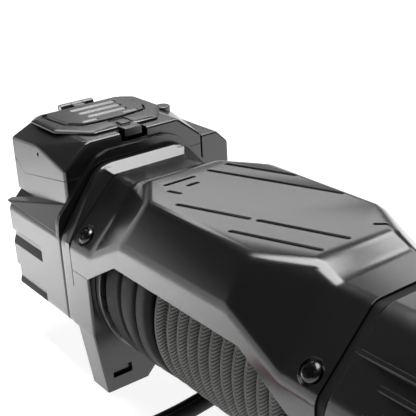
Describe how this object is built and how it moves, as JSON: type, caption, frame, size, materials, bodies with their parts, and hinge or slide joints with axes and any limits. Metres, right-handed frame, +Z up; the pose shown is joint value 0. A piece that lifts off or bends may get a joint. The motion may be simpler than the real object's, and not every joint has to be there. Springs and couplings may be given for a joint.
{
  "type": "electric recovery winch",
  "caption": "Electric recovery winch with octagonal motor and gear housings, bridging drum cover, rope drum with black sleeve, top control box and rope hook.",
  "frame": {"origin": "on the mounting plane under the feet, midway between the four foot bolts", "axes": "+X along the drum towards the motor, -Y the side where the rope leaves, +Z up; the foot bolts come from below"},
  "size_m": [0.59, 0.3891, 0.2033],
  "materials": {
    "cast_black": "satin black powder coat on cast aluminium",
    "cover_black": "satin charcoal powder coat on cast aluminium",
    "box_black": "fine-grained black moulded plastic with soft highlights",
    "seal_black": "matt black rubber",
    "steel": "ground and hardened steel",
    "zinc": "zinc-plated steel",
    "dark_screw": "dark polished steel",
    "bronze": "sintered bronze",
    "copper": "copper",
    "rope_grey": "grey braided synthetic rope",
    "sleeve_black": "black woven nylon sleeve",
    "core_grey": "tightly wound rope layers",
    "hook_red": "red powder-coated forged steel",
    "friction": "brake friction material",
    "motor_steel": "painted motor steel",
    "socket_black": "moulded black plastic"
  },
  "bodies": {
    "frame": {"gear_side_support": "cast_black", "motor_side_support": "cast_black", "drum_cover": "cover_black", "cover_screws": "dark_screw", "tie_rods": "zinc", "foot_nuts": "dark_screw", "gear_housing": "cast_black", "gear_housing_screws": "dark_screw", "motor_housing": "cast_black", "motor_housing_screws": "dark_screw", "motor_seal": "seal_black", "gearbox_seal": "seal_black", "control_box_base": "box_black", "control_box_cover": "box_black", "control_box_screws": "dark_screw", "lid_hinge_pin": "zinc", "remote_socket": "socket_black", "contactor": "motor_steel", "terminal_studs": "copper", "cable_cover": "box_black", "cable_cover_screws": "dark_screw", "drum_bushes": "bronze", "rope_tail": "sleeve_black", "rope_thimble": "zinc", "motor_can": "motor_steel", "motor_poles": "copper", "motor_end_bell": "motor_steel", "brush_gear": "bronze", "shaft_bearings": "steel", "ring_gear": "steel"},
    "lid": {"socket_lid": "box_black"},
    "drum_unit": {"drum": "steel", "rope_core": "core_grey", "rope_winding": "rope_grey", "sleeve_winding": "sleeve_black", "brake_rings": "friction", "carrier_3": "steel"},
    "motor_unit": {"armature": "copper", "commutator": "copper", "drive_shaft": "steel", "brake_cam": "steel", "sun_gear": "steel"},
    "carrier_unit_1": {"carrier_1": "steel"},
    "carrier_unit_2": {"carrier_2": "steel"},
    "planet_unit_1a": {"planet_1a": "steel"},
    "planet_unit_1b": {"planet_1b": "steel"},
    "planet_unit_1c": {"planet_1c": "steel"},
    "planet_unit_2a": {"planet_2a": "steel"},
    "planet_unit_2b": {"planet_2b": "steel"},
    "planet_unit_2c": {"planet_2c": "steel"},
    "planet_unit_3a": {"planet_3a": "steel"},
    "planet_unit_3b": {"planet_3b": "steel"},
    "planet_unit_3c": {"planet_3c": "steel"},
    "clutch_lever_unit": {"clutch_lever": "hook_red"},
    "clutch_pin_unit": {"clutch_pin": "steel"},
    "hook_unit": {"rope_hook": "hook_red", "hook_pin": "zinc"},
    "latch_unit": {"hook_latch": "zinc"}
  },
  "joints": [
    {"name": "motor_spin", "type": "hinge", "parent": "frame", "child": "motor_unit", "pos_m": [0, 0, 0.092], "axis": [1, 0, 0], "continuous": true},
    {"name": "carrier_1_spin", "type": "hinge", "parent": "frame", "child": "carrier_unit_1", "pos_m": [-0.2184, 0, 0.092], "axis": [1, 0, 0], "continuous": true},
    {"name": "carrier_2_spin", "type": "hinge", "parent": "frame", "child": "carrier_unit_2", "pos_m": [-0.1904, 0, 0.092], "axis": [1, 0, 0], "continuous": true},
    {"name": "drum_spin", "type": "hinge", "parent": "frame", "child": "drum_unit", "pos_m": [0, 0, 0.092], "axis": [1, 0, 0], "continuous": true},
    {"name": "planet_1a_spin", "type": "hinge", "parent": "carrier_unit_1", "child": "planet_unit_1a", "pos_m": [-0.2269, 0.036, 0.092], "axis": [1, 0, 0], "continuous": true},
    {"name": "planet_1b_spin", "type": "hinge", "parent": "carrier_unit_1", "child": "planet_unit_1b", "pos_m": [-0.2269, -0.018, 0.12318], "axis": [1, 0, 0], "continuous": true},
    {"name": "planet_1c_spin", "type": "hinge", "parent": "carrier_unit_1", "child": "planet_unit_1c", "pos_m": [-0.2269, -0.018, 0.06082], "axis": [1, 0, 0], "continuous": true},
    {"name": "planet_2a_spin", "type": "hinge", "parent": "carrier_unit_2", "child": "planet_unit_2a", "pos_m": [-0.2009, 0.036, 0.092], "axis": [1, 0, 0], "continuous": true},
    {"name": "planet_2b_spin", "type": "hinge", "parent": "carrier_unit_2", "child": "planet_unit_2b", "pos_m": [-0.2009, -0.018, 0.12318], "axis": [1, 0, 0], "continuous": true},
    {"name": "planet_2c_spin", "type": "hinge", "parent": "carrier_unit_2", "child": "planet_unit_2c", "pos_m": [-0.2009, -0.018, 0.06082], "axis": [1, 0, 0], "continuous": true},
    {"name": "planet_3a_spin", "type": "hinge", "parent": "drum_unit", "child": "planet_unit_3a", "pos_m": [-0.1689, 0.036, 0.092], "axis": [1, 0, 0], "continuous": true},
    {"name": "planet_3b_spin", "type": "hinge", "parent": "drum_unit", "child": "planet_unit_3b", "pos_m": [-0.1689, -0.018, 0.12318], "axis": [1, 0, 0], "continuous": true},
    {"name": "planet_3c_spin", "type": "hinge", "parent": "drum_unit", "child": "planet_unit_3c", "pos_m": [-0.1689, -0.018, 0.06082], "axis": [1, 0, 0], "continuous": true},
    {"name": "lid_hinge", "type": "hinge", "parent": "frame", "child": "lid", "pos_m": [-0.256, 0, 0.19975], "axis": [0, -1, 0], "range_deg": [0, 110]},
    {"name": "clutch_turn", "type": "hinge", "parent": "frame", "child": "clutch_lever_unit", "pos_m": [-0.252, -0.04738, 0.04462], "axis": [-1, 0, 0], "range_deg": [0, 90]},
    {"name": "clutch_pin_slide", "type": "slide", "parent": "frame", "child": "clutch_pin_unit", "axis": [-1, 0, 0], "range_m": [0, 0.0063]},
    {"name": "hook_swing", "type": "hinge", "parent": "frame", "child": "hook_unit", "pos_m": [-0.046, -0.21385, 0.011], "axis": [0, 0, 1], "range_deg": [-40, 40]},
    {"name": "latch_hinge", "type": "hinge", "parent": "hook_unit", "child": "latch_unit", "pos_m": [-0.0345, -0.23885, 0.011], "axis": [0, 0, -1], "range_deg": [0, 35], "stiffness_Nm_per_rad": 0.02, "springref_deg": -17.19}
  ],
  "couplings": [
    {"joint": "carrier_1_spin", "follows": "motor_spin", "ratio": 0.16667},
    {"joint": "carrier_2_spin", "follows": "motor_spin", "ratio": 0.027778},
    {"joint": "drum_spin", "follows": "motor_spin", "ratio": 0.0046296},
    {"joint": "planet_1a_spin", "follows": "motor_spin", "ratio": -0.41667},
    {"joint": "planet_1b_spin", "follows": "motor_spin", "ratio": -0.41667},
    {"joint": "planet_1c_spin", "follows": "motor_spin", "ratio": -0.41667},
    {"joint": "planet_2a_spin", "follows": "motor_spin", "ratio": -0.069444},
    {"joint": "planet_2b_spin", "follows": "motor_spin", "ratio": -0.069444},
    {"joint": "planet_2c_spin", "follows": "motor_spin", "ratio": -0.069444},
    {"joint": "planet_3a_spin", "follows": "motor_spin", "ratio": -0.011574},
    {"joint": "planet_3b_spin", "follows": "motor_spin", "ratio": -0.011574},
    {"joint": "planet_3c_spin", "follows": "motor_spin", "ratio": -0.011574},
    {"joint": "clutch_pin_slide", "follows": "clutch_turn", "m_per_rad": 0.0038196}
  ]
}
